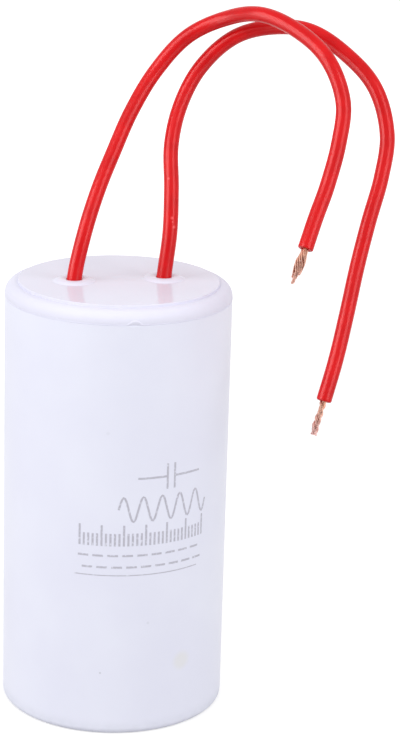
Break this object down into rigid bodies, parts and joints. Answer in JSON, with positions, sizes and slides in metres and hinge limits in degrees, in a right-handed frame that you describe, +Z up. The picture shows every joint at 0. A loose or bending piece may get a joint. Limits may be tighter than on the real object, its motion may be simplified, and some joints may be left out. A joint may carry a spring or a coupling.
{
  "type": "motor start capacitor",
  "caption": "Cylindrical film capacitor in a sealed plastic case with a welded round-shouldered lid and flexible insulated leads with stripped ends, for running or starting an AC motor.",
  "frame": {"origin": "centre of the case's base, on the surface that it stands on", "axes": "+Z up along the case's axis towards the lid, the two lead holes on X, -Y towards the front"},
  "size_m": [0.0745, 0.0524, 0.1415],
  "materials": {
    "case_plastic": "moulded, satin gloss, white with a faint lavender cast",
    "lid_plastic": "moulded, glossy, white with a faint lavender cast",
    "metallised_film": "wound film, smooth",
    "core_plastic": "extruded tube",
    "sprayed_zinc": "sprayed, grainy",
    "resin": "cast resin",
    "solder": "soldered, dull",
    "red_insulation": "extruded, glossy red",
    "bare_copper": "bare twisted strands of copper"
  },
  "bodies": {
    "root": {"case": "case_plastic", "lid": "lid_plastic", "winding": "metallised_film", "core_tube": "core_plastic", "top_end_spray": "sprayed_zinc", "bottom_end_spray": "sprayed_zinc", "potting_resin": "resin", "top_solder": "solder", "bottom_solder": "solder", "lead_a_insulation": "red_insulation", "lead_a_conductor": "bare_copper", "lead_b_insulation": "red_insulation", "lead_b_conductor": "bare_copper"}
  },
  "joints": []
}
